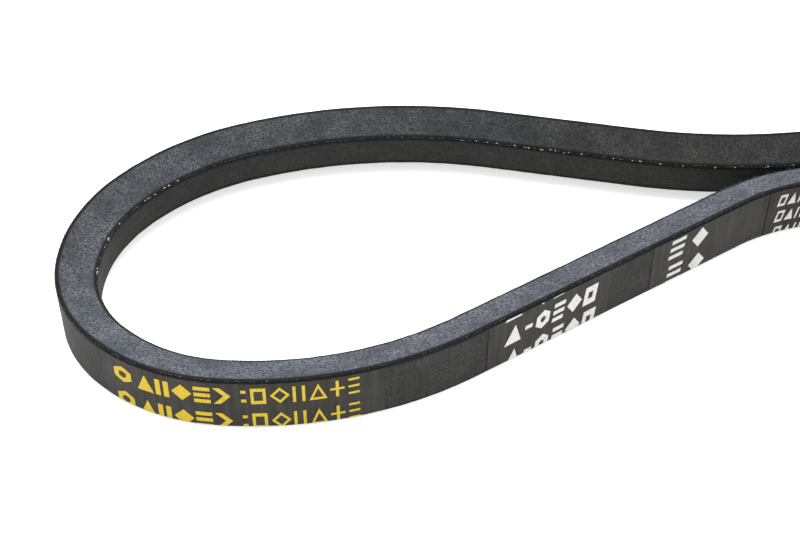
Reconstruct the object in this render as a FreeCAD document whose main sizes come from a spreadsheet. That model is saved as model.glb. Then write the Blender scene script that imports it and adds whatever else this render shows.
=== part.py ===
import FreeCAD, Part
import math
import os
import Sketcher
from FreeCAD import Placement, Rotation, Vector

# A wrapped classical V belt of section A, lying on its edge on a table.  Its head stands open as a
# long loop, its two runs close up side by side, and the rest is wound up double as a flat coil.
# +Z is up and the table is at Z = 0.  The origin is on the table at the middle of the head loop.

os.makedirs("parts", exist_ok=True)
doc = FreeCAD.newDocument("v_belt")
sheet = doc.addObject("Spreadsheet::Sheet", "Sizes")

sizes = {
    # section
    "belt_width": 13.0,
    "belt_height": 8.0,
    "wedge_angle": 40.0,
    "pitch_depth": 2.75,
    "outer_corner": 0.5,
    "inner_corner": 0.6,
    "wrap_ply": 0.45,
    "cord_diameter": 1.0,
    "cord_gap": 0.2,
    "cord_edge": 0.35,
    "cushion_over_cord": 0.45,
    "cushion_under_cord": 0.55,
    # length and lie
    "pitch_length": 3150.0,
    "head_tip_x": -39.0,
    "head_tip_y": -8.0,
    "front_tip_radius": 27.0,
    "front_tip_turn": 45.0,
    "front_side_radius": 36.5,
    "front_side_turn": 40.0,
    "front_long_radius": 74.0,
    "front_slope": 33.3,
    "front_return_radius": 45.0,
    "back_tip_radius": 36.3,
    "back_tip_turn": 40.0,
    "back_side_radius": 54.3,
    "back_side_turn": 30.0,
    "back_long_radius": 99.0,
    "back_slope": 11.1,
    "back_return_radius": 108.0,
    "neck_x": 120.4,
    "neck_y": 24.5,
    "neck_heading": 9.2,
    "neck_length": 66.0,
    "face_gap": 0.6,
    "wrap_gap": 0.6,
    "eye_sweep": 165.0,
    "eye_radius": 31.0,
    "eye_return_radius": 33.0,
    "eye_crossing": 21.0,
    # transfer labels, one after another along the front run from the head's tip
    "film_thickness": 0.1,
    "film_margin": 0.05,
    "ink_thickness": 0.05,
    "label_margin": 2.5,
    "class_label_gap": 25.4,
    "class_label_length": 52.0,
    "class_mark_height": 5.1,
    "class_mark_length": 3.6,
    "class_mark_gap": 1.7,
    "class_row_gap": 1.8,
    "section_label_gap": 21.0,
    "section_label_length": 29.0,
    "section_mark_height": 5.4,
    "section_mark_length": 4.2,
    "section_mark_gap": 1.7,
    "section_row_gap": 1.6,
    "length_label_gap": 11.0,
    "length_label_length": 30.4,
    "length_mark_height": 5.0,
    "length_mark_length": 4.6,
    "length_mark_gap": 1.6,
    "length_row_gap": 1.6,
    "batch_label_gap": 0.4,
    "batch_label_length": 52.0,
    "batch_mark_height": 2.9,
    "batch_mark_length": 2.4,
    "batch_mark_gap": 1.3,
    "batch_row_gap": 1.6,
}
for row, (alias, number) in enumerate(sizes.items(), start=1):
    sheet.set("A%d" % row, alias)
    sheet.set("B%d" % row, str(number))
    sheet.setAlias("B%d" % row, alias)
doc.recompute()


class Size:
    # a length known both as a number and as the sheet formula that gives it
    def __init__(self, number, formula):
        self.number = number
        self.formula = formula

    def joined(self, sign, other, number):
        text = other.formula if isinstance(other, Size) else repr(other)
        return Size(number, "(%s %s %s)" % (self.formula, sign, text))

    def __add__(self, other):
        return self.joined("+", other, self.number + plain(other))

    def __sub__(self, other):
        return self.joined("-", other, self.number - plain(other))

    def __mul__(self, other):
        return self.joined("*", other, self.number * plain(other))

    def __truediv__(self, other):
        return self.joined("/", other, self.number / plain(other))


def plain(value):
    return value.number if isinstance(value, Size) else value


def size(alias):
    return Size(float(sheet.get(alias)), "Sizes." + alias)


def cosine(angle):
    return Size(math.cos(math.radians(angle.number)), "cos(%s)" % angle.formula)


# ---------------------------------------------------------------- the belt's route, at its pitch line

def ahead(heading):
    return Vector(math.cos(heading), math.sin(heading), 0)


def left(heading):
    return Vector(-math.sin(heading), math.cos(heading), 0)


class Walk:
    # straight runs and tangent arcs laid end to end: a move is (length, 0) or (radius, turn)
    def __init__(self, point, heading):
        self.point = point
        self.heading = heading
        self.moves = []
        self.length = 0.0

    def line(self, length):
        self.point = self.point + ahead(self.heading) * length
        self.moves.append((length, 0.0))
        self.length += length
        return self

    def arc(self, radius, turn):
        side = math.copysign(radius, turn)
        centre = self.point + left(self.heading) * side
        self.heading += turn
        self.point = centre - left(self.heading) * side
        self.moves.append((radius, turn))
        self.length += radius * abs(turn)
        return self

    def follow(self, moves):
        for amount, turn in moves:
            if turn:
                self.arc(amount, turn)
            else:
                self.line(amount)
        return self


def backwards(moves):
    return [(amount, -turn) for amount, turn in reversed(moves)]


def trimmed(moves, first, last):
    # the part of the moves between two distances along them
    kept = []
    done = 0.0
    for amount, turn in moves:
        length = amount * abs(turn) if turn else amount
        start = max(first - done, 0.0)
        end = min(last - done, length)
        if end > start:
            share = (end - start) / length
            kept.append((amount, turn * share) if turn else (amount * share, 0.0))
        done += length
    return kept


def edges(point, heading, moves, offset=0.0):
    # the edges of those moves, at a distance to the right of them
    walk = Walk(point, heading)
    shapes = []
    for amount, turn in moves:
        halfway = Walk(walk.point, walk.heading)
        begin = walk.point - left(walk.heading) * offset
        if turn:
            halfway.arc(amount, turn / 2)
            walk.arc(amount, turn)
        else:
            walk.line(amount)
        finish = walk.point - left(walk.heading) * offset
        if turn:
            middle = halfway.point - left(halfway.heading) * offset
            shapes.append(Part.Arc(begin, middle, finish).toShape())
        else:
            shapes.append(Part.LineSegment(begin, finish).toShape())
    return shapes


def number(alias):
    return size(alias).number


def angle(alias):
    return math.radians(number(alias))


head_tip = Vector(number("head_tip_x"), number("head_tip_y"), 0)
neck_point = Vector(number("neck_x"), number("neck_y"), 0)
neck_heading = angle("neck_heading")
belly = number("belt_height") - number("pitch_depth")
# pitch line to pitch line: two runs with their inner faces together, and two with their outer faces
pair_spacing = 2 * belly + number("face_gap")
wrap_spacing = 2 * number("pitch_depth") + number("wrap_gap")
half_turn_step = (pair_spacing + wrap_spacing) / 2


def runToNeck(heading, arcs, slope, return_radius, side):
    # one run of the head: arcs, a straight that is as long as it must be, and the bend into the neck
    bend = neck_heading - slope
    probe = Walk(head_tip, heading).follow(arcs)
    across = left(neck_heading)
    drift = ahead(probe.heading).dot(across)
    probe.arc(return_radius, bend)
    straight = (side * pair_spacing / 2 - (probe.point - neck_point).dot(across)) / drift
    walk = Walk(head_tip, heading).follow(arcs)
    return walk.line(straight).arc(return_radius, bend)


front_slope = angle("front_slope")
back_slope = -angle("back_slope")
front_long_turn = math.pi / 2 + front_slope - angle("front_tip_turn") - angle("front_side_turn")
back_long_turn = math.pi / 2 - back_slope - angle("back_tip_turn") - angle("back_side_turn")
front = runToNeck(-math.pi / 2,
                  [(number("front_tip_radius"), angle("front_tip_turn")),
                   (number("front_side_radius"), angle("front_side_turn")),
                   (number("front_long_radius"), front_long_turn)],
                  front_slope, number("front_return_radius"), -1)
back = runToNeck(math.pi / 2,
                 [(number("back_tip_radius"), -angle("back_tip_turn")),
                  (number("back_side_radius"), -angle("back_side_turn")),
                  (number("back_long_radius"), -back_long_turn)],
                 back_slope, number("back_return_radius"), 1)

# both runs go on straight to the same cross-line, where the coil begins
along = ahead(neck_heading)
coil_start = max((front.point - neck_point).dot(along), (back.point - neck_point).dot(along))
coil_start += number("neck_length")
front.line(coil_start - (front.point - neck_point).dot(along))
back.line(coil_start - (back.point - neck_point).dot(along))

# the coil's eye: the outer run leaves its half turn, turns back on the eye radius, crosses the
# middle and joins the inner run.  Both circles are placed from the first half turn's centre, and
# the first half turn is as wide as the eye and its crossing need, which is the root of a quadratic.
crossing = number("eye_crossing")
eye_sweep = angle("eye_sweep")
eye_radius = number("eye_radius")
eye_return_radius = number("eye_return_radius")
eye_reach = pair_spacing - half_turn_step - eye_radius
return_reach = eye_return_radius + half_turn_step
spread = 2 * (1 - math.cos(eye_sweep))
apart = (eye_radius + eye_return_radius) ** 2 + crossing ** 2
rest = eye_reach ** 2 + return_reach ** 2 + 2 * math.cos(eye_sweep) * eye_reach * return_reach - apart
reach = eye_reach - return_reach
inner_radius = (math.sqrt((spread * reach) ** 2 - 4 * spread * rest) / spread - reach) / 2
lead_radius = inner_radius + pair_spacing - half_turn_step
eye_centre = Vector(0, half_turn_step, 0) + ahead(math.pi / 2 - eye_sweep) * (lead_radius - eye_radius)
return_centre = Vector(0, inner_radius - eye_return_radius, 0)
between = return_centre - eye_centre
crossing_heading = math.atan2(between.y, between.x) - math.atan2(eye_radius + eye_return_radius, crossing)
eye_turn = (eye_sweep + crossing_heading) % (2 * math.pi) - 2 * math.pi
return_turn = (math.pi - crossing_heading) % (2 * math.pi)
eye = [(lead_radius, -eye_sweep), (eye_radius, eye_turn), (crossing, 0.0), (eye_return_radius, return_turn)]

# half turns are added outwards until the belt's length is used, and the last is a part of one
spare = number("pitch_length") - front.length - back.length - Walk(head_tip, 0).follow(eye).length
half_turns = []
turn_radius = inner_radius
while spare > math.pi * (2 * turn_radius + pair_spacing):
    spare -= math.pi * (2 * turn_radius + pair_spacing)
    half_turns.append((turn_radius, math.pi))
    turn_radius += half_turn_step
half_turns.append((turn_radius, spare / (2 * turn_radius + pair_spacing)))
inward = [(radius + pair_spacing, -turn) for radius, turn in reversed(half_turns)]

route_moves = back.moves + inward + eye + half_turns + backwards(front.moves)
whole = Walk(head_tip, math.pi / 2).follow(route_moves)
print("pitch length %.3f mm, gap at the join %.6f mm" % (whole.length, (whole.point - head_tip).Length))
print("half turns %d, last one %.1f degrees" % (len(half_turns), math.degrees(half_turns[-1][1])))
print("smallest bend radius %.1f mm" % min(amount for amount, turn in route_moves if turn))

route = doc.addObject("Part::Feature", "belt_route")
route.Shape = Part.Wire(edges(head_tip, math.pi / 2, route_moves))

# ---------------------------------------------------------------- section sketches at the head's tip

flank_angle = size("wedge_angle") / 2
mid_width = size("belt_width") / 2


# the rounded outer corners stand on the table, so the middle of the width is a little lower
flank_tangent = Size(math.tan(math.radians(flank_angle.number)), "tan(%s)" % flank_angle.formula)
corner_drop = size("outer_corner") * (flank_tangent + Size(1.0, "1") / cosine(flank_angle) - 1)
rest_height = mid_width - corner_drop


def atHeadTip(obj):
    # sketch X points out of the loop, sketch Y is up
    obj.Placement = Placement(Vector(), Rotation(Vector(-1, 0, 0), Vector(0, 0, 1), Vector(0, 1, 0), "ZXY"))
    obj.setExpression("Placement.Base.x", "Sizes.head_tip_x")
    obj.setExpression("Placement.Base.y", "Sizes.head_tip_y")
    obj.setExpression("Placement.Base.z", rest_height.formula)


def bind(sketch, constraint, value):
    index = sketch.addConstraint(constraint)
    sketch.setExpression("Constraints[%d]" % index, value.formula)


def halfWidth(height, plies):
    # half the width inside that many plies, at a height over the pitch line
    plies_across = size("wrap_ply") * plies / cosine(flank_angle)
    return mid_width - (size("pitch_depth") - height) * flank_tangent - plies_across


def outline(name, corners):
    # a closed section of straight sides with every corner bound to the sheet
    sketch = doc.addObject("Sketcher::SketchObject", name + "_section")
    atHeadTip(sketch)
    points = [Vector(across.number, up.number, 0) for across, up in corners]
    for index, point in enumerate(points):
        sketch.addGeometry(Part.LineSegment(point, points[(index + 1) % len(points)]))
    for index in range(len(points)):
        sketch.addConstraint(Sketcher.Constraint("Coincident", index, 2, (index + 1) % len(points), 1))
    for index, (across, up) in enumerate(corners):
        bind(sketch, Sketcher.Constraint("DistanceX", -1, 1, index, 1, across.number), across)
        bind(sketch, Sketcher.Constraint("DistanceY", -1, 1, index, 1, up.number), up)
    return sketch


def wedge(name, top, bottom, plies, corners=None):
    # the belt's section between two heights and inside some plies, with its corners round or sharp
    sketch = outline(name, [(bottom, halfWidth(bottom, plies) * -1), (top, halfWidth(top, plies) * -1),
                            (top, halfWidth(top, plies)), (bottom, halfWidth(bottom, plies))])
    if corners:
        bottom_corner, top_corner = corners
        for index, corner in enumerate([bottom_corner, top_corner, top_corner, bottom_corner]):
            arc = sketch.GeometryCount
            sketch.fillet(index, 1, corner.number, True, True)
            bind(sketch, Sketcher.Constraint("Radius", arc, corner.number), corner)
    return sketch


def swept(name, sketch):
    sweep = doc.addObject("Part::Sweep", name)
    sweep.Sections = [sketch]
    sweep.Spine = (route, ["Edge%d" % (index + 1) for index in range(len(route.Shape.Edges))])
    sweep.Solid = True
    sweep.Frenet = False
    return sweep


def ply(name, outside, inside):
    cut = doc.addObject("Part::Cut", name)
    cut.Base = outside
    cut.Tool = inside
    return cut


top_face = size("pitch_depth")
bottom_face = size("pitch_depth") - size("belt_height")
one_ply = size("wrap_ply")
two_plies = size("wrap_ply") * 2
cord_line = size("pitch_depth") * 0

# ---------------------------------------------------------------- the fabric wrap, two plies

wrap_outside = swept("wrap_outside", wedge("outside", top_face, bottom_face, 0,
                                           (size("inner_corner"), size("outer_corner"))))
wrap_middle = swept("wrap_middle", wedge("middle", top_face - one_ply, bottom_face + one_ply, 1))
wrap_inside = swept("wrap_inside", wedge("inside", top_face - two_plies, bottom_face + two_plies, 2))
outer_wrap = ply("outer_wrap_ply", wrap_outside, wrap_middle)
inner_wrap = ply("inner_wrap_ply", wrap_middle, wrap_inside)

# ---------------------------------------------------------------- the rubber core and its cord

cord_radius = size("cord_diameter") / 2
cord_spacing = size("cord_diameter") + size("cord_gap")
above = cord_radius + size("cushion_over_cord")
below = (cord_radius + size("cushion_under_cord")) * -1
tension_rubber = swept("tension_rubber", wedge("tension", top_face - two_plies, above, 2))
compression_rubber = swept("compression_rubber", wedge("compression", below, bottom_face + two_plies, 2))

# as many turns of cord as fit side by side inside the wrap
room = 2 * (halfWidth(cord_line, 2) - size("cord_edge")).number - number("cord_diameter")
cord_turns = int(room / cord_spacing.number) + 1
cord_places = [cord_spacing * (turn - (cord_turns - 1) / 2) for turn in range(cord_turns)]


def cordCorners(up, side, first, last):
    # corners of the cord's eight-sided section on one side of the cord line, counted upwards
    corners = []
    for corner in range(first, last + 1):
        spoke = math.radians(45 * corner - 90)
        corners.append((cord_radius * (side * math.cos(spoke)), up + cord_radius * math.sin(spoke)))
    return corners


def cordTurn(turn, up):
    return swept("cord_turn_%d" % turn, outline("cord_%d" % turn, cordCorners(up, 1, 0, 7)))


def cushion(name, far, side):
    # one half of the adhesion rubber: flat on its far side, with a bed for each cord turn
    near_half = halfWidth(cord_line, 2)
    far_half = halfWidth(far, 2)
    corners = [(cord_line, near_half * -1)]
    for up in cord_places:
        corners += cordCorners(up, side, 0, 4)
    corners += [(cord_line, near_half), (far, far_half), (far, far_half * -1)]
    return swept(name, outline(name, corners))


upper_adhesion = cushion("upper_adhesion_rubber", above, 1)
lower_adhesion = cushion("lower_adhesion_rubber", below, -1)
tension_cord = doc.addObject("Part::Compound", "tension_cord")
tension_cord.Links = [cordTurn(turn, up) for turn, up in enumerate(cord_places)]

# ---------------------------------------------------------------- transfer labels on the front run

front_moves = front.moves
face_half = mid_width - size("outer_corner") * (flank_tangent + Size(1.0, "1") / cosine(flank_angle))
film_half = face_half - size("film_margin")
film_top = rest_height + film_half
film_foot = rest_height - film_half


def ribbon(name, first, last, inner_offset, thickness, foot, height):
    # a thin piece that follows the belt's outer face between two distances from the head's tip
    inside = edges(*trimmedStart(first), trimmed(front_moves, first, last), inner_offset)
    outside = edges(*trimmedStart(first), trimmed(front_moves, first, last), inner_offset + thickness)
    ends = [Part.LineSegment(inside[0].Vertexes[0].Point, outside[0].Vertexes[0].Point).toShape(),
            Part.LineSegment(inside[-1].Vertexes[-1].Point, outside[-1].Vertexes[-1].Point).toShape()]
    wire = Part.Wire(Part.sortEdges(inside + outside + ends)[0])
    face = doc.addObject("Part::Feature", name + "_plan")
    face.Shape = Part.Face(wire)
    piece = doc.addObject("Part::Extrusion", name)
    piece.Base = face
    piece.DirMode = "Custom"
    piece.Dir = Vector(0, 0, 1)
    piece.Solid = True
    piece.LengthFwd = height.number
    piece.setExpression("LengthFwd", height.formula)
    piece.setExpression("Placement.Base.z", foot.formula)
    return piece


def trimmedStart(distance):
    # where a stretch of the front run begins, and which way it heads
    walk = Walk(head_tip, -math.pi / 2).follow(trimmed(front_moves, 0, distance))
    return walk.point, walk.heading


def film(kind, start):
    return ribbon(kind + "_label_film", start, start + number(kind + "_label_length"), number("pitch_depth"),
                  number("film_thickness"), film_foot, film_half * 2)


def ink(kind, label_start):
    # rows of printed marks, as many as the film holds: the lowest row may run off the film's foot
    row_pitch = size(kind + "_mark_height") + size(kind + "_row_gap")
    mark_length = number(kind + "_mark_length")
    mark_pitch = mark_length + number(kind + "_mark_gap")
    room = number(kind + "_label_length") - 2 * number("label_margin") - mark_length
    offset = number("pitch_depth") + number("film_thickness")
    blocks = []
    for row in range(int(film_half.number * 2 / row_pitch.number) + 1):
        row_top = film_top - row_pitch * row
        clipped = row_top - size(kind + "_mark_height")
        foot = film_foot if clipped.number < film_foot.number else clipped
        for mark in range(int(room / mark_pitch) + 1):
            start = label_start + number("label_margin") + mark_pitch * mark
            blocks.append(ribbon("%s_mark_%d_%d" % (kind, row, mark), start, start + mark_length, offset,
                                 number("ink_thickness"), foot, row_top - foot))
    group = doc.addObject("Part::Compound", kind + "_label_ink")
    group.Links = blocks
    return group


films = []
inks = []
label_end = 0.0
for kind in ("class", "section", "length", "batch"):
    label_start = label_end + number(kind + "_label_gap")
    label_end = label_start + number(kind + "_label_length")
    films.append(film(kind, label_start))
    inks.append(ink(kind, label_start))

# ---------------------------------------------------------------- checks and files

pieces = [outer_wrap, inner_wrap, tension_rubber, upper_adhesion, tension_cord, lower_adhesion,
          compression_rubber] + films + inks
doc.recompute()
for obj in doc.Objects:
    if "Invalid" in obj.State or "Error" in obj.State:
        raise RuntimeError("%s failed: %s" % (obj.Label, obj.State))
for piece in pieces:
    if piece.Shape.isNull() or not piece.Shape.isValid() or not piece.Shape.Solids:
        raise RuntimeError("%s has no valid solid" % piece.Label)
    piece.Shape.exportStep("parts/%s.step" % piece.Label)
    print("%-24s %2d solids %10.2f mm3" % (piece.Label, len(piece.Shape.Solids), piece.Shape.Volume))
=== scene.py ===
import math
import random
import bpy
import bmesh
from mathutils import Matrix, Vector, noise


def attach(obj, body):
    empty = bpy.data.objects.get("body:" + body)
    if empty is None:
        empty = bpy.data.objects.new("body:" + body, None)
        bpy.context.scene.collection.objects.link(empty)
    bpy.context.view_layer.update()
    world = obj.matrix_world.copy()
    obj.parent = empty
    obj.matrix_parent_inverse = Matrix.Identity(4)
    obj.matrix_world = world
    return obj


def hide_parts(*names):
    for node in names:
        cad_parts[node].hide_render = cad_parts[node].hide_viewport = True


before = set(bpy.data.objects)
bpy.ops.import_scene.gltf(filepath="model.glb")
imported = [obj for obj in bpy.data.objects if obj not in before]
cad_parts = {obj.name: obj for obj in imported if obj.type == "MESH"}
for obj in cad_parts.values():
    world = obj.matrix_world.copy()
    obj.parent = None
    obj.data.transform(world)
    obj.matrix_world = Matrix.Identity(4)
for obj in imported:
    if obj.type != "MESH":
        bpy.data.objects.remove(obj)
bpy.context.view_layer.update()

# a fabric-wrapped V belt on its edge: an open head loop, two runs side by side, the rest coiled.
# Everything is worked out in millimetres, and mm turns it to metres where it goes into a mesh.
mm = 0.001
up = Vector((0, 0, 1))

# the belt's section and the way it lies, in millimetres and degrees, the same as the CAD; an arc is
# (radius, turn), with a turn to the left above zero
section = {
    "width": 13.0,
    "height": 8.0,
    "wedge": 40.0,
    "pitchDepth": 2.75,
    "outerCorner": 0.5,
    "innerCorner": 0.6,
}
lie = {
    "pitchLength": 3150.0,
    "headTip": (-39.0, -8.0),
    "frontArcs": [(27.0, 45.0), (36.5, 40.0), (74.0, 38.3)],
    "frontReturn": 45.0,
    "backArcs": [(36.3, -40.0), (54.3, -30.0), (99.0, -31.1)],
    "backReturn": 108.0,
    "neck": (120.4, 24.5),
    "neckHeading": 9.2,
    "neckLength": 66.0,
    "faceGap": 0.6,
    "wrapGap": 0.6,
    "eyeSweep": 165.0,
    "eyeRadius": 31.0,
    "eyeReturn": 33.0,
    "eyeCrossing": 21.0,
}
headTip = Vector((*lie["headTip"], 0))
neck = Vector((*lie["neck"], 0))
neckHeading = math.radians(lie["neckHeading"])


def ahead(heading):
    return Vector((math.cos(heading), math.sin(heading), 0))


def leftOf(heading):
    return Vector((-math.sin(heading), math.cos(heading), 0))


def step(point, heading, amount, turn):
    # the end of one move: a straight run, or a tangent arc of that radius and turn
    if not turn:
        return point + ahead(heading) * amount, heading
    side = math.copysign(amount, turn)
    centre = point + leftOf(heading) * side
    return centre - leftOf(heading + turn) * side, heading + turn


def follow(point, heading, moves):
    for amount, turn in moves:
        point, heading = step(point, heading, amount, turn)
    return point, heading


def moveLength(amount, turn):
    return amount * abs(turn) if turn else amount


def totalLength(moves):
    return sum(moveLength(amount, turn) for amount, turn in moves)


def toRadians(arcs):
    return [(radius, math.radians(turn)) for radius, turn in arcs]


def runToNeck(heading, arcs, returnRadius, aside):
    # arcs from the head's tip, a straight as long as it must be, and the bend that brings the run
    # beside the neck's line, that far to its left
    across = leftOf(neckHeading)
    point, course = follow(headTip, heading, arcs)
    bend = (returnRadius, neckHeading - course)
    reached = step(point, course, *bend)[0]
    straight = (aside - (reached - neck).dot(across)) / ahead(course).dot(across)
    return arcs + [(straight, 0.0), bend]


def coilEye(pair, growth):
    # the belt's far end: in along the coil's innermost turn, round the eye radius, across the
    # middle and back out. That turn is as wide as the eye and its crossing need, by a quadratic.
    sweep = math.radians(lie["eyeSweep"])
    reach = lie["eyeRadius"] + lie["eyeReturn"]
    eyeReach = pair - growth - lie["eyeRadius"]
    returnReach = lie["eyeReturn"] + growth
    spread = 2 * (1 - math.cos(sweep))
    rest = eyeReach ** 2 + returnReach ** 2 + 2 * math.cos(sweep) * eyeReach * returnReach
    rest -= reach ** 2 + lie["eyeCrossing"] ** 2
    apart = eyeReach - returnReach
    inner = (math.sqrt((spread * apart) ** 2 - 4 * spread * rest) / spread - apart) / 2
    lead = inner + pair - growth
    eyeCentre = Vector((0, growth, 0)) + ahead(math.pi / 2 - sweep) * (lead - lie["eyeRadius"])
    span = Vector((0, inner - lie["eyeReturn"], 0)) - eyeCentre
    course = math.atan2(span.y, span.x) - math.atan2(reach, lie["eyeCrossing"])
    eye = [(lead, -sweep),
           (lie["eyeRadius"], (sweep + course) % (2 * math.pi) - 2 * math.pi),
           (lie["eyeCrossing"], 0.0),
           (lie["eyeReturn"], (math.pi - course) % (2 * math.pi))]
    return eye, inner


def halfTurns(spare, radius, pair, growth):
    # half turns of the coil from its inside, until the length is used up
    halves = []
    while spare > math.pi * (2 * radius + pair):
        spare -= math.pi * (2 * radius + pair)
        halves.append((radius, math.pi))
        radius += growth
    return halves + [(radius, spare / (2 * radius + pair))]


def beltRoute():
    # the pitch line as moves of (length or radius, turn), and how long the back and front runs are
    along = ahead(neckHeading)
    pair = 2 * (section["height"] - section["pitchDepth"]) + lie["faceGap"]
    wrap = 2 * section["pitchDepth"] + lie["wrapGap"]
    growth = (pair + wrap) / 2
    back = runToNeck(math.pi / 2, toRadians(lie["backArcs"]), lie["backReturn"], pair / 2)
    front = runToNeck(-math.pi / 2, toRadians(lie["frontArcs"]), lie["frontReturn"], -pair / 2)
    backReach = (follow(headTip, math.pi / 2, back)[0] - neck).dot(along)
    frontReach = (follow(headTip, -math.pi / 2, front)[0] - neck).dot(along)
    coilStart = max(backReach, frontReach) + lie["neckLength"]
    back.append((coilStart - backReach, 0.0))
    front.append((coilStart - frontReach, 0.0))
    eye, inner = coilEye(pair, growth)
    halves = halfTurns(lie["pitchLength"] - totalLength(front + back + eye), inner, pair, growth)
    inward = [(radius + pair, -turn) for radius, turn in reversed(halves)]
    homeward = [(amount, -turn) for amount, turn in reversed(front)]
    return back + inward + eye + halves + homeward, totalLength(back), totalLength(front)


route, backLength, frontLength = beltRoute()
routeLength = totalLength(route)
print("route %.2f mm" % routeLength)


def placeOn(distance):
    # the pitch line's point and heading at a distance from the head's tip, the back run first
    point, heading = headTip, math.pi / 2
    for amount, turn in route:
        length = moveLength(amount, turn)
        if distance <= length:
            share = distance / length
            if turn and share:
                return step(point, heading, amount, turn * share)
            return step(point, heading, length * share, 0.0)
        distance -= length
        point, heading = step(point, heading, amount, turn)
    return point, heading


flankSlope = math.tan(math.radians(section["wedge"] / 2))
cornerLength = section["outerCorner"] * (flankSlope + math.sqrt(1 + flankSlope ** 2))
midHeight = section["width"] / 2 - cornerLength + section["outerCorner"]  # it stands on its rounded corners
halfTop = section["width"] / 2
halfFoot = halfTop - section["height"] * flankSlope
backOut = section["pitchDepth"]  # the belt's back and its inner face, out from the pitch line
innerOut = backOut - section["height"]


def onFront(distance, out, height):
    # a place along the front run from the head's tip, out from the pitch line towards the belt's
    # back, and up from the middle of its width
    point, heading = placeOn((routeLength - distance) % routeLength)
    return (point + leftOf(heading) * out + up * (midHeight + height)) * mm


def addObject(name, mesh):
    piece = bpy.data.objects.new(name, mesh)
    bpy.context.scene.collection.objects.link(piece)
    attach(piece, "root")
    return piece


def linear(hexColour):
    # an sRGB hex colour as the linear colour that a shader takes
    channels = [int(hexColour[i:i + 2], 16) / 255 for i in (1, 3, 5)]
    return tuple(c / 12.92 if c <= 0.04045 else ((c + 0.055) / 1.055) ** 2.4 for c in channels) + (1.0,)


def addNode(tree, kind, settings=None, links=None):
    # settings go on the node's own properties or its sockets, links on its input sockets
    node = tree.nodes.new(kind)
    for key, value in (settings or {}).items():
        if isinstance(key, str) and hasattr(node, key):
            setattr(node, key, value)
        else:
            node.inputs[key].default_value = value
    for key, source in (links or {}).items():
        tree.links.new(source, node.inputs[key])
    return node


def newMaterial(name):
    material = bpy.data.materials.new(name)
    material.use_nodes = True
    tree = material.node_tree
    tree.nodes.clear()
    return material, tree


def setSurface(tree, shader):
    output = addNode(tree, "ShaderNodeOutputMaterial")
    tree.links.new(shader.outputs[0], output.inputs["Surface"])


def weaveHeight(tree, spacing):
    # plain weave on the bias: threads over and under each other, from 0 to 1
    place = addNode(tree, "ShaderNodeUVMap", {"uv_map": "lie"})
    turned = addNode(tree, "ShaderNodeMapping",
                     {"Rotation": (0, 0, math.radians(45)), "Scale": (1 / spacing, 1 / spacing, 1)},
                     {"Vector": place.outputs["UV"]})
    parts = addNode(tree, "ShaderNodeSeparateXYZ", links={"Vector": turned.outputs["Vector"]})
    ridges = []
    cells = []
    for axis in ("X", "Y"):
        along = parts.outputs[axis]
        angle = addNode(tree, "ShaderNodeMath", {"operation": "MULTIPLY", 1: math.pi}, {0: along})
        wave = addNode(tree, "ShaderNodeMath", {"operation": "SINE"}, {0: angle.outputs[0]})
        ridge = addNode(tree, "ShaderNodeMath", {"operation": "ABSOLUTE"}, {0: wave.outputs[0]})
        cell = addNode(tree, "ShaderNodeMath", {"operation": "FLOOR"}, {0: along})
        ridges.append(ridge.outputs[0])
        cells.append(cell.outputs[0])
    total = addNode(tree, "ShaderNodeMath", {"operation": "ADD"}, {0: cells[0], 1: cells[1]})
    over = addNode(tree, "ShaderNodeMath", {"operation": "PINGPONG", 1: 1.0}, {0: total.outputs[0]})
    return addNode(tree, "ShaderNodeMix", {"data_type": "FLOAT"},
                   {0: over.outputs[0], 2: ridges[0], 3: ridges[1]}).outputs[0]


def grain(tree, size, detail):
    # uneven patches of that size in millimetres, in the object's own space
    place = addNode(tree, "ShaderNodeTexCoord")
    return addNode(tree, "ShaderNodeTexNoise", {"Scale": 1 / (size * mm), "Detail": detail},
                   {"Vector": place.outputs["Object"]}).outputs["Fac"]


def between(tree, factor, low, high, cut=(0.0, 1.0)):
    # low to high as the factor passes the cut; a grain lies mostly from 0.3 to 0.7
    return addNode(tree, "ShaderNodeMapRange",
                   {"From Min": cut[0], "From Max": cut[1], "To Min": low, "To Max": high},
                   {"Value": factor}).outputs["Result"]


def blendColour(tree, factor, first, second):
    # first and second are colours or sockets
    node = addNode(tree, "ShaderNodeMix", {"data_type": "RGBA"}, {0: factor})
    for index, colour in ((6, first), (7, second)):
        if isinstance(colour, tuple):
            node.inputs[index].default_value = colour
        else:
            tree.links.new(colour, node.inputs[index])
    return node.outputs[2]


# rubber-coated canvas cover: chloroprene rubbed into a plain-woven cotton and polyester cloth.
# Threads 0.8 mm apart, a little coarser than real ones so that they show, give a fine diagonal
# tooth; dust greys the crowns, a painted sheen lightens the front run in the same tones, the rubber that the
# mould squeezed to the corners stays black, and along the foot of the inner face that black is painted
# contact shadow.
canvas = {
    "threadSpacing": 0.8,
    "patchSize": 6.0,
    "mottleSize": 1.1,
    "speckSize": 0.4,
    "weaveShow": 0.45,             # how much the weave shows in the colour
    "mottleShow": (-0.35, 0.6),    # and the mottle that breaks it up
    "mottleCut": (0.35, 0.65),
    "lintShow": (0.3, 0.9),        # lint, from the cleanest patches to the dustiest
    "lintCut": (0.4, 0.62),
    "speckCut": (0.3, 0.7),
    "rimRagged": 0.22,             # how far specks break the edge of the dark rim
    "rimCut": (0.5, 0.85),
    "rimDark": 0.85,
    "rimColour": "#0B0B0C",
    "roughSpread": (-0.08, 0.1),
    "speckBump": 1.6,              # height of the specks in threads
    "bumpStrength": 0.45,
    "bump": 0.1,
}
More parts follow.
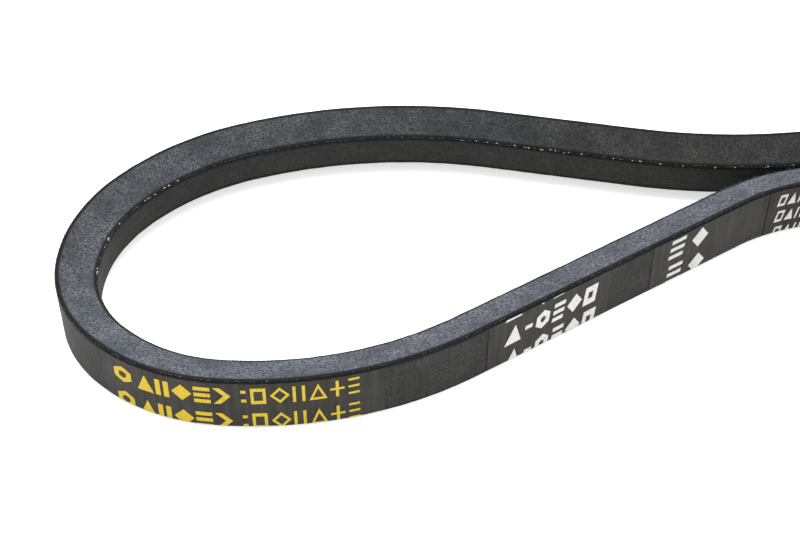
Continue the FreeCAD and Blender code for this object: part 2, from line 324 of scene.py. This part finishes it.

# that cloth on each side of the belt. The colours are the ground, the thread crowns and the lint on
# them, plain, and lightened where dust has settled and a sheen is painted.
canvasFinishes = {
    # flanks: a pale blue-grey bloom of dust over black, lighter still where a sheen is painted
    "dustAndSheenCanvas": {"plainTone": ("#1B1B1B", "#282828", "#414140"), "dustAndSheenTone": ("#32353B", "#45484E", "#747A81"),
                     "roughness": 0.66, "gloss": 0.09},
    # back: rubbed smoother by handling, so it is darker with a slight sheen
    "bareCanvas": {"plainTone": ("#161615", "#212120", "#33322F"), "dustAndSheenTone": ("#1E1E1E", "#2C2C2B", "#42413F"),
                   "roughness": 0.64, "gloss": 0.14},
    # inner face: pressed flat by the mould, evenly dark and matt
    "pressedCanvas": {"plainTone": ("#1E1E1C", "#282825", "#353531"), "dustAndSheenTone": ("#1E1E1C", "#282825", "#353531"),
                      "roughness": 0.66, "gloss": 0.11},
    # second ply: clean cloth that never saw dust
    "plyCanvas": {"plainTone": ("#202022", "#2C2C2E", "#3A3A3C"), "dustAndSheenTone": ("#202022", "#2C2C2E", "#3A3A3C"),
                  "roughness": 0.66, "gloss": 0.2},
}


def canvasMaterial(name):
    colours = canvasFinishes[name]
    material, tree = newMaterial(name)
    weave = weaveHeight(tree, canvas["threadSpacing"])
    speck = grain(tree, canvas["speckSize"], 2.0)
    mottle = grain(tree, canvas["mottleSize"], 3.0)
    patch = grain(tree, canvas["patchSize"], 4.0)
    # this attribute blends to lighter tones: real dust, and a painted sheen along the front run
    dustAndSheen = addNode(tree, "ShaderNodeAttribute", {"attribute_name": "dustAndSheen"}).outputs["Fac"]
    ground, crown, lint = [blendColour(tree, dustAndSheen, linear(plainTone), linear(dustAndSheenTone))
                           for plainTone, dustAndSheenTone in zip(colours["plainTone"], colours["dustAndSheenTone"])]
    worn = addNode(tree, "ShaderNodeMath", {"operation": "MULTIPLY_ADD", 1: canvas["weaveShow"]},
                   {0: weave, 2: between(tree, mottle, *canvas["mottleShow"], canvas["mottleCut"])})
    crowned = blendColour(tree, worn.outputs[0], ground, crown)
    spots = addNode(tree, "ShaderNodeMath", {"operation": "MULTIPLY"},
                    {0: between(tree, patch, *canvas["lintShow"], canvas["mottleCut"]),
                     1: between(tree, speck, 0.0, 1.0, canvas["lintCut"])})
    linted = blendColour(tree, spots.outputs[0], crowned, lint)
    # the dark rim: black rubber along the corners, and a painted contact shadow at the foot of the inner face
    rim = addNode(tree, "ShaderNodeAttribute", {"attribute_name": "corner"}).outputs["Fac"]
    ragged = addNode(tree, "ShaderNodeMath", {"operation": "ADD"},
                     {0: rim, 1: between(tree, speck, -canvas["rimRagged"], canvas["rimRagged"],
                                         canvas["speckCut"])})
    dark = between(tree, ragged.outputs[0], 0.0, canvas["rimDark"], canvas["rimCut"])
    colour = blendColour(tree, dark, linted, linear(canvas["rimColour"]))
    smoothest, roughest = [colours["roughness"] + spread for spread in canvas["roughSpread"]]
    rough = between(tree, speck, smoothest, roughest, canvas["speckCut"])
    relief = addNode(tree, "ShaderNodeMath", {"operation": "MULTIPLY_ADD", 1: canvas["speckBump"]},
                     {0: speck, 2: weave})
    bump = addNode(tree, "ShaderNodeBump",
                   {"Strength": canvas["bumpStrength"], "Distance": canvas["bump"] * mm},
                   {"Height": relief.outputs[0]})
    shader = addNode(tree, "ShaderNodeBsdfPrincipled", {"IOR": 1.5, "Specular IOR Level": colours["gloss"]},
                     {"Base Color": colour, "Roughness": rough, "Normal": bump.outputs["Normal"]})
    setSurface(tree, shader)
    return material


# moulded rubber of the core: carbon-black compound with short fibre specks, semi-matt
rubber = {"speckSize": 0.5, "speckCut": (0.55, 0.75), "roughSpread": 0.08, "bumpStrength": 0.4, "bump": 0.04}


def rubberMaterial(name, base, fleck, roughness):
    material, tree = newMaterial(name)
    speck = grain(tree, rubber["speckSize"], 3.0)
    shown = between(tree, speck, 0.0, 1.0, rubber["speckCut"])
    colour = blendColour(tree, shown, linear(base), linear(fleck))
    rough = between(tree, speck, roughness - rubber["roughSpread"], roughness + rubber["roughSpread"])
    bump = addNode(tree, "ShaderNodeBump",
                   {"Strength": rubber["bumpStrength"], "Distance": rubber["bump"] * mm}, {"Height": speck})
    shader = addNode(tree, "ShaderNodeBsdfPrincipled", {"IOR": 1.52},
                     {"Base Color": colour, "Roughness": rough, "Normal": bump.outputs["Normal"]})
    setSurface(tree, shader)
    return material


# twisted polyester cord, dipped: pale straw yarn, its strands drawn a little coarser than real
cord = {"strandSpacing": 0.7255, "waver": 1.5, "valley": "#A08F68", "crown": "#DCCFA8", "roughness": 0.6,
        "bumpStrength": 0.5, "bump": 0.08}


def cordMaterial(name):
    material, tree = newMaterial(name)
    place = addNode(tree, "ShaderNodeTexCoord")
    # diagonal bands repeat when ten times x + y + z at the scale has gone a full turn
    strands = addNode(tree, "ShaderNodeTexWave",
                      {"wave_type": "BANDS", "bands_direction": "DIAGONAL",
                       "Scale": 2 * math.pi / (10 * math.sqrt(3) * cord["strandSpacing"] * mm),
                       "Distortion": cord["waver"]},
                      {"Vector": place.outputs["Object"]}).outputs["Fac"]
    colour = blendColour(tree, strands, linear(cord["valley"]), linear(cord["crown"]))
    bump = addNode(tree, "ShaderNodeBump",
                   {"Strength": cord["bumpStrength"], "Distance": cord["bump"] * mm}, {"Height": strands})
    shader = addNode(tree, "ShaderNodeBsdfPrincipled", {"Roughness": cord["roughness"], "IOR": 1.5},
                     {"Base Color": colour, "Normal": bump.outputs["Normal"]})
    setSurface(tree, shader)
    return material


# heat-transferred label film: a thin dull skin over the cloth. The threads show through it, and it
# has fine upright creases across the belt where it was pressed round the former.
film = {
    "ground": "#24231F",
    "light": "#33312C",
    "scuff": "#413F39",
    "creaseSpacing": 0.9,
    "creaseStretch": 0.06,    # of a crease's width to its height
    "creaseCut": (0.35, 0.65),
    "scuffShow": 0.35,
    "scuffCut": (0.4, 0.7),
    "roughness": (0.44, 0.6),
    "gloss": 0.14,
    "speckBump": 0.5,
    "bumpStrength": 0.35,
    "bump": 0.05,
}


def filmMaterial(name):
    material, tree = newMaterial(name)
    speck = grain(tree, canvas["speckSize"], 2.0)
    patch = grain(tree, canvas["patchSize"], 3.0)
    place = addNode(tree, "ShaderNodeTexCoord")
    upright = addNode(tree, "ShaderNodeMapping", {"Scale": (1.0, 1.0, film["creaseStretch"])},
                      {"Vector": place.outputs["Object"]})
    crease = addNode(tree, "ShaderNodeTexNoise", {"Scale": 1 / (film["creaseSpacing"] * mm), "Detail": 3.0},
                     {"Vector": upright.outputs["Vector"]}).outputs["Fac"]
    toned = blendColour(tree, between(tree, crease, 0.0, 1.0, film["creaseCut"]),
                        linear(film["ground"]), linear(film["light"]))
    scuffed = between(tree, patch, 0.0, film["scuffShow"], film["scuffCut"])
    colour = blendColour(tree, scuffed, toned, linear(film["scuff"]))
    relief = addNode(tree, "ShaderNodeMath", {"operation": "MULTIPLY_ADD", 1: film["speckBump"]},
                     {0: speck, 2: crease})
    bump = addNode(tree, "ShaderNodeBump", {"Strength": film["bumpStrength"], "Distance": film["bump"] * mm},
                   {"Height": relief.outputs[0]})
    shader = addNode(tree, "ShaderNodeBsdfPrincipled", {"IOR": 1.48, "Specular IOR Level": film["gloss"]},
                     {"Base Color": colour, "Normal": bump.outputs["Normal"],
                      "Roughness": between(tree, speck, *film["roughness"])})
    setSurface(tree, shader)
    return material


# transfer ink, hot-pressed: opaque colour that has cracked and rubbed a little over the threads
ink = {"crackSize": 0.35, "crackShow": 0.75, "crackCut": (0.56, 0.72), "roughness": (0.45, 0.65),
       "gloss": 0.2, "bumpStrength": 0.3, "bump": 0.03}


def inkMaterial(name, fresh, rubbed):
    material, tree = newMaterial(name)
    speck = grain(tree, ink["crackSize"], 3.0)
    cracked = between(tree, speck, 0.0, ink["crackShow"], ink["crackCut"])
    colour = blendColour(tree, cracked, linear(fresh), linear(rubbed))
    bump = addNode(tree, "ShaderNodeBump", {"Strength": ink["bumpStrength"], "Distance": ink["bump"] * mm},
                   {"Height": speck})
    shader = addNode(tree, "ShaderNodeBsdfPrincipled", {"IOR": 1.5, "Specular IOR Level": ink["gloss"]},
                     {"Base Color": colour, "Normal": bump.outputs["Normal"],
                      "Roughness": between(tree, speck, *ink["roughness"])})
    setSurface(tree, shader)
    return material


# cotton ends of the cover's threads: a soft dry white, or grey where dust clings to them
cotton = {"speckSize": 0.3, "roughness": 0.85, "sheen": 0.3}


def cottonMaterial(name, bright, shade):
    material, tree = newMaterial(name)
    speck = grain(tree, cotton["speckSize"], 2.0)
    colour = blendColour(tree, speck, linear(shade), linear(bright))
    shader = addNode(tree, "ShaderNodeBsdfPrincipled",
                     {"Roughness": cotton["roughness"], "IOR": 1.5, "Sheen Weight": cotton["sheen"]},
                     {"Base Color": colour})
    setSurface(tree, shader)
    return material


flankCanvas = canvasMaterial("dustAndSheenCanvas")
backCanvas = canvasMaterial("bareCanvas")
innerCanvas = canvasMaterial("pressedCanvas")
plyCanvas = canvasMaterial("plyCanvas")
coreRubber = rubberMaterial("fibreLoadedRubber", "#191919", "#3A3836", 0.6)
cushionRubber = rubberMaterial("adhesionRubber", "#242220", "#34312E", 0.55)
cordYarn = cordMaterial("dippedPolyesterCord")
labelFilm = filmMaterial("transferFilm")
yellowInk = inkMaterial("yellowTransferInk", "#C6AB26", "#766726")
whiteInk = inkMaterial("whiteTransferInk", "#D2D2CC", "#737472")
threadCotton = cottonMaterial("bleachedThreadEnds", "#E8E6DE", "#A9A8A2")
darkFibre = cottonMaterial("dustyFibre", "#6E7176", "#3C3E42")
print("finishes made")

cover = {
    "headStep": 0.9,      # spacing of the cross-sections where the head stands open
    "coilStep": 3.0,
    "faceSteps": 9,
    "cornerSteps": 4,
    "lapWidth": 3.2,      # the outer ply's overlap on the inner face
    "lapRise": 0.12,
    "ripples": ((0.35, 0.6), (1.1, 0.4)),    # how often the cloth sways in a millimetre, and its share
    "wander": 0.07,       # how far it leaves the true shape
    "sink": 0.6,          # the part of that by which it lies inside the shape
    "rimWidth": 0.85,     # dark rubber beside a corner
    "paintedFootShadow": 1.3,       # painted contact shadow along the foot of the inner face, in the rim's dark
    # dust and painted sheen along the belt, from the coil by the front run, past the head's tip, and back to
    # the coil
    "dustAndSheenAlong": [(-340.0, 0.4), (-220.0, 1.0), (-30.0, 1.0), (0.0, 0.7), (30.0, 0.5), (70.0, 0.4),
                  (100.0, 0.15), (140.0, 0.0), (220.0, 0.0), (340.0, 0.4)],
}
coverMaterials = (flankCanvas, backCanvas, innerCanvas)
onFlank, onBack, onInner = range(3)


def coverSection():
    # the closed section, from the inner face round by the lower flank: each spot is its place (out,
    # height), the finish of the strip that follows it, and how much of the corner's rim it has
    corners = [((innerOut, -halfFoot), section["innerCorner"]), ((backOut, -halfTop), section["outerCorner"]),
               ((backOut, halfTop), section["outerCorner"]), ((innerOut, halfFoot), section["innerCorner"])]
    arcs = []
    for index, (corner, radius) in enumerate(corners):
        here = Vector(corner)
        before = (Vector(corners[index - 1][0]) - here).normalized()
        after = (Vector(corners[(index + 1) % 4][0]) - here).normalized()
        half = before.angle(after) / 2
        centre = here + (before + after).normalized() * radius / math.sin(half)
        begin = here + before * radius / math.tan(half) - centre
        end = here + after * radius / math.tan(half) - centre
        swing = begin.angle_signed(end)
        arc = []
        for part in range(cover["cornerSteps"] + 1):
            turn = -swing * part / cover["cornerSteps"]
            arc.append(centre + Vector((begin.x * math.cos(turn) - begin.y * math.sin(turn),
                                        begin.x * math.sin(turn) + begin.y * math.cos(turn))))
        arcs.append(arc)
    # each corner with the face that follows it
    strips = ((onFlank, onFlank, cover["rimWidth"]), (onBack, onBack, cover["rimWidth"]),
              # the inner face's foot gets a wider dark band: painted contact shadow where the belt overhangs
              # the table
              (onBack, onFlank, cover["rimWidth"]), (onFlank, onInner, cover["paintedFootShadow"]))
    spots = []
    for index, (arcFinish, faceFinish, lastRim) in enumerate(strips):
        arc = arcs[index]
        spots += [(place, arcFinish, 1.0) for place in arc[:-1]]
        begin = arc[-1]
        end = arcs[(index + 1) % 4][0]
        span = (end - begin).length
        rimStart = cover["rimWidth"] / span
        rimEnd = 1 - lastRim / span
        shares = [0.0] + [rimStart + (rimEnd - rimStart) * part / cover["faceSteps"]
                          for part in range(cover["faceSteps"] + 1)]
        for part, share in enumerate(shares):
            spots.append((begin.lerp(end, share), faceFinish, 1.0 if part == 0 else 0.0))
    return spots


def stations():
    # distances of the cross-sections, close together round the head and wider in the coil
    places = []
    for first, last, gap in ((0, backLength, cover["headStep"]),
                             (backLength, routeLength - frontLength, cover["coilStep"]),
                             (routeLength - frontLength, routeLength, cover["headStep"])):
        count = math.ceil((last - first) / gap)
        places += [first + (last - first) * index / count for index in range(count)]
    # the mesh begins and ends in the coil, where nobody sees the weave join
    middle = next(index for index, place in enumerate(places) if place > routeLength / 2)
    return places[middle:] + [place + routeLength for place in places[:middle]]


def clothPoint(distance, out, height, lift=0.0):
    # a point of the cover: cloth drawn over rubber is never quite flat, so it wanders a little
    point, heading = placeOn(distance % routeLength)
    side = leftOf(heading)
    base = point + side * out + up * (midHeight + height)
    sway = sum(noise.noise(base * often) * share for often, share in cover["ripples"])
    outwards = Vector((out + section["height"] / 2 - section["pitchDepth"], height)).normalized()
    base += (side * outwards.x + up * outwards.y) * ((sway - cover["sink"]) * cover["wander"] + lift)
    return base


def dustAndSheenAt(distance):
    # how much dust and painted sheen the cover has: both lighten the front run, and the back run stays plain
    along = distance - routeLength if distance > routeLength / 2 else distance
    before = cover["dustAndSheenAlong"][0]
    if along < before[0]:
        return before[1]
    for after in cover["dustAndSheenAlong"][1:]:
        if along < after[0]:
            share = (along - before[0]) / (after[0] - before[0])
            return before[1] + (after[1] - before[1]) * share
        before = after
    return before[1]


def coverVertices(spots, places):
    lapOut = innerOut + 0.05  # a spot this near the inner face's plane lies on that face
    lapFoot = halfFoot - cover["lapWidth"]
    vertices = []
    for place in places:
        side = leftOf(placeOn(place % routeLength)[1])
        for (out, height), _, _ in spots:
            base = clothPoint(place, out, height)
            if out < lapOut and height > lapFoot:
                base -= side * cover["lapRise"]
            vertices.append(base * mm)
    return vertices


def makeCover():
    spots = coverSection()
    places = stations()
    around = [0.0]
    for index, (place, _, _) in enumerate(spots):
        around.append(around[-1] + (spots[(index + 1) % len(spots)][0] - place).length)
    count = len(spots)
    faces = []
    slots = []
    coordinates = []
    for row, begin in enumerate(places):
        following = (row + 1) % len(places)
        end = places[following] if following else places[0] + routeLength
        for column in range(count):
            right = (column + 1) % count
            faces.append((row * count + column, following * count + column,
                          following * count + right, row * count + right))
            slots.append(spots[column][1])
            coordinates += [begin, around[column], end, around[column], end, around[column + 1],
                            begin, around[column + 1]]
    mesh = bpy.data.meshes.new("wovenCover")
    mesh.from_pydata(coverVertices(spots, places), [], faces)
    for material in coverMaterials:
        mesh.materials.append(material)
    mesh.polygons.foreach_set("material_index", slots)
    mesh.polygons.foreach_set("use_smooth", [True] * len(faces))
    mesh.uv_layers.new(name="lie").data.foreach_set("uv", coordinates)
    rim = mesh.attributes.new("corner", "FLOAT", "POINT")
    rim.data.foreach_set("value", [spot[2] for spot in spots] * len(places))
    # dust and a painted sheen along the belt, for each cross-section
    dustAndSheen = mesh.attributes.new("dustAndSheen", "FLOAT", "POINT")
    dustAndSheen.data.foreach_set("value", [dustAndSheenAt(place % routeLength) for place in places for _ in spots])
    mesh.update()
    piece = addObject("wovenCover", mesh)
    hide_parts("outer_wrap_ply")


makeCover()
print("cover woven")

# what lies under the cover keeps its CAD shape, and so do the label films
carried = {
    "inner_wrap_ply": plyCanvas,
    "tension_rubber": coreRubber,
    "compression_rubber": coreRubber,
    "upper_adhesion_rubber": cushionRubber,
    "lower_adhesion_rubber": cushionRubber,
    "tension_cord": cordYarn,
    "class_label_film": labelFilm,
    "section_label_film": labelFilm,
    "length_label_film": labelFilm,
    "batch_label_film": labelFilm,
}
for node, material in carried.items():
    for slot in bpy.data.objects[node].material_slots:
        slot.material = material
print("CAD pieces finished")


# marks of the labels: plain figures, each drawn in a box one wide and one high
def polygon(count):
    # one corner at the top
    turns = [math.radians(90 + 360 * k / count) for k in range(count)]
    return [Vector((0.5 + 0.5 * math.cos(turn), 0.5 + 0.5 * math.sin(turn))) for turn in turns]


def boxAt(left, foot, right, top):
    return [Vector((left, foot)), Vector((right, foot)), Vector((right, top)), Vector((left, top))]


def hollow(outline, stroke, width, height):
    # a closed outline as a band of that stroke
    centre = sum(outline, Vector((0, 0))) / len(outline)
    size = Vector((width, height))
    reach = min((((a + b) / 2 - centre) * size).length for a, b in zip(outline, outline[1:]))
    inner = [centre + (spot - centre) * (1 - stroke / reach) for spot in outline]
    return [[outline[k], outline[(k + 1) % len(outline)], inner[(k + 1) % len(outline)], inner[k]]
            for k in range(len(outline))]


armWidth = 1.3    # of an arrow's arms and of the two dots, to the stroke
dotInset = 0.12


def figure(kind, width, height, stroke):
    # the faces of one figure, in its own box
    thick = stroke / width
    tall = stroke / height
    arm = thick * armWidth
    peak = [Vector((0, 0)), Vector((1, 0)), Vector((0.5, 1))]
    middle = boxAt(0, 0.5 - tall / 2, 1, 0.5 + tall / 2)
    if kind == "lozenge":
        return [polygon(4)]
    if kind == "peak":
        return [peak]
    if kind == "bars":
        return [boxAt(0, 0, thick, 1), boxAt(1 - thick, 0, 1, 1)]
    if kind == "steps":
        return [boxAt(0, 0, 1, tall), middle, boxAt(0, 1 - tall, 1, 1)]
    if kind == "dash":
        return [middle]
    if kind == "cross":
        return [boxAt(0.5 - thick / 2, 0, 0.5 + thick / 2, 1),
                boxAt(0, 0.5 - tall / 2, 0.5 - thick / 2, 0.5 + tall / 2),
                boxAt(0.5 + thick / 2, 0.5 - tall / 2, 1, 0.5 + tall / 2)]
    if kind == "arrow":
        return [[Vector((0, 0)), Vector((arm, 0)), Vector((1, 0.5)), Vector((1 - arm, 0.5))],
                [Vector((1 - arm, 0.5)), Vector((1, 0.5)), Vector((arm, 1)), Vector((0, 1))]]
    if kind == "dots":
        return [boxAt(0, dotInset, 1, dotInset + tall * armWidth),
                boxAt(0, 1 - dotInset - tall * armWidth, 1, 1 - dotInset)]
    outline = {"frame": boxAt(0, 0, 1, 1), "hexagon": polygon(6), "openLozenge": polygon(4),
               "openPeak": peak}[kind]
    return hollow(outline, stroke, width, height)


# each label: where its marks start along the front run, how high they are, how far apart their rows
# stand and which of them there are, how far the first begins below the film's edge and how that
# lessens along it, how much they slant, and the marks as (figure, width, stroke, gap after)
boldRow = [("hexagon", 4.2, 1.0, 0.9), ("peak", 3.2, 0.9, 0.4), ("bars", 2.5, 0.95, 0.5),
           ("lozenge", 3.6, 0.9, 0.35), ("steps", 2.9, 0.95, 0.5), ("arrow", 3.1, 0.95, 1.8)]
thinRow = [("dots", 0.9, 0.6, 0.8), ("frame", 2.7, 0.55, 0.7), ("openLozenge", 3.5, 0.5, 0.5),
           ("bars", 2.2, 0.55, 0.7), ("openPeak", 3.2, 0.45, 0.5), ("cross", 2.6, 0.55, 0.7),
           ("steps", 2.0, 0.55, 0)]
smallRow = [("frame", 1.9, 0.4, 0.6), ("peak", 2.0, 0.4, 0.5), ("bars", 1.6, 0.4, 0.7),
            ("cross", 1.9, 0.4, 1.4)]
labels = {
    "class": {"start": 27.7, "height": 4.2, "rowPitch": 6.8, "rows": (0, 1), "drop": 1.6, "lift": 0.02,
              "slant": 0.0, "marks": boldRow + thinRow, "ink": yellowInk, "slot": "yellow_ink"},
    "section": {"start": 102.2, "height": 4.7, "rowPitch": 6.6, "rows": (-1, 0, 1), "drop": 2.4, "lift": 0.03,
                "slant": 0.12, "ink": whiteInk, "slot": "white_ink",
                "marks": [("peak", 3.9, 1.0, 0.7), ("dash", 1.7, 1.0, 0.7), ("hexagon", 3.6, 1.0, 0.7),
                          ("steps", 2.6, 1.0, 0.7), ("lozenge", 3.6, 1.0, 0.6), ("frame", 3.0, 0.95, 0)]},
    "length": {"start": 142.6, "height": 4.9, "rowPitch": 6.9, "rows": (0, 1), "drop": 0.5, "lift": 0.0,
               "slant": 0.12, "ink": whiteInk, "slot": "white_ink",
               "marks": [("steps", 3.6, 0.95, 2.0), ("lozenge", 4.2, 0.95, 0)]},
    "batch": {"start": 171.4, "height": 2.9, "rowPitch": 4.35, "rows": (0, 1, 2), "drop": 1.3, "lift": 0.0,
              "slant": 0.22, "marks": smallRow * 5, "ink": whiteInk, "slot": "white_ink"},
}
filmSkin = 0.1
inkSkin = 0.05
filmMargin = 0.05
filmHalf = halfTop - cornerLength - filmMargin


def drawMarks(sheet, label):
    # the figures flat, x along the front run and y up from the middle of the belt's width
    for row in label["rows"]:
        along = label["start"]
        foot = filmHalf - label["drop"] - label["height"] - row * label["rowPitch"]
        for kind, width, stroke, gap in label["marks"]:
            for face in figure(kind, width, label["height"], stroke):
                spots = []
                for spot in face:
                    high = spot.y * label["height"]
                    x = along + spot.x * width + label["slant"] * high
                    spots.append(sheet.verts.new((x, foot + high + (x - label["start"]) * label["lift"], 0)))
                sheet.faces.new(spots)
            along += width + gap


def cutMarks(sheet):
    # rows that run off the film end at its edges, and each mark is cut often enough to bend
    for edge, outward in ((filmHalf, 1), (-filmHalf, -1)):
        bmesh.ops.bisect_plane(sheet, geom=sheet.verts[:] + sheet.edges[:] + sheet.faces[:],
                               plane_co=(0, edge, 0), plane_no=(0, outward, 0), clear_outer=True)
    first = min(spot.co.x for spot in sheet.verts)
    last = max(spot.co.x for spot in sheet.verts)
    for cut in range(1, math.ceil(last - first)):
        bmesh.ops.bisect_plane(sheet, geom=sheet.verts[:] + sheet.edges[:] + sheet.faces[:],
                               plane_co=(first + cut, 0, 0), plane_no=(1, 0, 0))


def makeMarks(kind):
    label = labels[kind]
    sheet = bmesh.new()
    drawMarks(sheet, label)
    cutMarks(sheet)
    bmesh.ops.recalc_face_normals(sheet, faces=sheet.faces[:])
    block = bmesh.ops.extrude_face_region(sheet, geom=sheet.faces[:])
    for spot in block["geom"]:
        if isinstance(spot, bmesh.types.BMVert):
            spot.co.z = inkSkin
    for spot in sheet.verts:
        spot.co = onFront(spot.co.x, backOut + filmSkin + spot.co.z, spot.co.y)
    bmesh.ops.recalc_face_normals(sheet, faces=sheet.faces[:])
    mesh = bpy.data.meshes.new(kind + "LabelMarks")
    sheet.to_mesh(mesh)
    sheet.free()
    mesh.materials.append(label["ink"])
    piece = addObject(kind + "LabelMarks", mesh)
    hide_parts(kind + "_label_ink")
    return len(mesh.polygons)


print("marks:", sum(makeMarks(kind) for kind in labels), "faces")

# thread ends and fibres that stand out of the cover's corners
fibres = {
    "seed": 7,
    # stretches of the lap where ends stick out: from, to, how many
    "cottonRuns": [(-3, 16, 11), (24, 36, 7), (100, 128, 18), (133, 172, 15), (560, 640, 30)],
    "cottonSpread": 0.35,
    "cottonInset": 0.2,
    "cottonLength": (0.35, 0.85),
    "cottonRadius": 0.13,
    "fuzzCount": 1500,
    "fuzzInset": 0.15,
    "fuzzLength": (0.25, 0.8),
    "fuzzRadius": 0.035,
    "lapDrop": 0.1,
    "backDrop": 0.2,
    "middleDepth": 1.2,   # of the section's middle, inside the pitch line
    "rootDepth": 0.05,
    "leanAlong": 1.0,
    "leanOut": (0.35, 0.9),
    "bow": 0.18,          # of a hair's length, at its middle
    "waist": 0.85,        # of its radius, there
}


def fibre(sheet, root, tip, radius):
    # a bent hair of three sides that thins towards its tip
    course = (tip - root).normalized()
    across = course.orthogonal().normalized()
    other = course.cross(across)
    bend = (root + tip) / 2 + across * (tip - root).length * fibres["bow"]
    angles = [math.radians(120 * k) for k in range(3)]
    rings = []
    for place, thick in ((root, 1.0), (bend, fibres["waist"])):
        spokes = [across * math.cos(angle) + other * math.sin(angle) for angle in angles]
        rings.append([sheet.verts.new((place + spoke * radius * thick) * mm) for spoke in spokes])
    end = sheet.verts.new(tip * mm)
    sheet.faces.new(reversed(rings[0]))
    for k in range(3):
        following = (k + 1) % 3
        sheet.faces.new((rings[0][k], rings[0][following], rings[1][following], rings[1][k]))
        sheet.faces.new((rings[1][k], rings[1][following], end))


def fibrePiece(name, material, roots, lengths, radius, dice):
    sheet = bmesh.new()
    for distance, out, height in roots:
        heading = placeOn(distance % routeLength)[1]
        root = clothPoint(distance, out, height, -fibres["rootDepth"])
        outwards = (leftOf(heading) * (out + fibres["middleDepth"]) + up * height).normalized()
        aside = ahead(heading) * dice.uniform(-fibres["leanAlong"], fibres["leanAlong"])
        lean = (aside + outwards * dice.uniform(*fibres["leanOut"])).normalized()
        fibre(sheet, root, root + lean * dice.uniform(*lengths), radius)
    mesh = bpy.data.meshes.new(name)
    sheet.to_mesh(mesh)
    sheet.free()
    mesh.materials.append(material)
    piece = addObject(name, mesh)


def makeFibres():
    dice = random.Random(fibres["seed"])
    tufts = []
    for first, last, count in fibres["cottonRuns"]:
        for _ in range(count):
            tufts.append((dice.uniform(first, last), innerOut + fibres["cottonInset"],
                          halfFoot - dice.uniform(0.0, fibres["cottonSpread"])))
    fibrePiece("cottonThreadEnds", threadCotton, tufts, fibres["cottonLength"], fibres["cottonRadius"], dice)
    # fuzz stands on the open head's two upper corners, twice as thick along the lap's
    lapCorner = (innerOut + fibres["fuzzInset"], halfFoot - fibres["lapDrop"])
    backCorner = (backOut - fibres["fuzzInset"], halfTop - fibres["backDrop"])
    spans = ((0, backLength), (routeLength - frontLength, routeLength))
    fuzz = []
    for _ in range(fibres["fuzzCount"]):
        distance = dice.uniform(*dice.choice(spans))
        fuzz.append((distance, *dice.choice((lapCorner, lapCorner, backCorner))))
    fibrePiece("coverFuzz", darkFibre, fuzz, fibres["fuzzLength"], fibres["fuzzRadius"], dice)


makeFibres()
print("fibres set")

# a white table that gives off light of its own, under a large soft box high above, a little behind
table = {"halfSide": 3.0, "tone": 0.92, "roughness": 0.8, "glow": 0.6}
studio = {"skyStrength": 0.8, "boxPower": 22.0, "boxSize": 1.3, "boxDistance": 1.3, "boxHeight": 74.0,
          "boxAside": 0.05}
white = (1, 1, 1, 1)
half = table["halfSide"]
floorMesh = bpy.data.meshes.new("table")
floorMesh.from_pydata([(-half, -half, 0), (half, -half, 0), (half, half, 0), (-half, half, 0)], [],
                      [(0, 1, 2, 3)])
floor = bpy.data.objects.new("table", floorMesh)
bpy.context.scene.collection.objects.link(floor)
paper, paperTree = newMaterial("whitePaper")
glowing = addNode(paperTree, "ShaderNodeBsdfPrincipled",
                  {"Base Color": (table["tone"],) * 3 + (1,), "Roughness": table["roughness"],
                   "Emission Color": white, "Emission Strength": table["glow"]})
setSurface(paperTree, glowing)
floorMesh.materials.append(paper)

world = bpy.data.worlds.new("softWhite")
world.use_nodes = True
world.node_tree.nodes["Background"].inputs["Color"].default_value = white
world.node_tree.nodes["Background"].inputs["Strength"].default_value = studio["skyStrength"]
bpy.context.scene.world = world
boxLight = bpy.data.lights.new("softBox", "AREA")
boxLight.shape = "SQUARE"
boxLight.size = studio["boxSize"]
boxLight.energy = studio["boxPower"]
softBox = bpy.data.objects.new("softBox", boxLight)
rise = math.radians(studio["boxHeight"])
softBox.location = (studio["boxAside"], studio["boxDistance"] * math.cos(rise),
                    studio["boxDistance"] * math.sin(rise))
softBox.rotation_euler = (rise - math.pi / 2, 0, 0)
bpy.context.scene.collection.objects.link(softBox)

view = {"place": (0.0254, -0.23495, 0.2278), "lookDown": 44.0, "lens": 72.2, "sensor": 36.0, "nearest": 0.01}
cameraData = bpy.data.cameras.new("camera")
cameraData.lens = view["lens"]
cameraData.sensor_width = view["sensor"]
cameraData.clip_start = view["nearest"]
camera = bpy.data.objects.new("camera", cameraData)
camera.location = view["place"]
camera.rotation_euler = (math.radians(90 - view["lookDown"]), 0, 0)
bpy.context.scene.collection.objects.link(camera)
bpy.context.scene.camera = camera
bpy.context.scene.view_settings.view_transform = "Standard"
print("table, light and camera set")
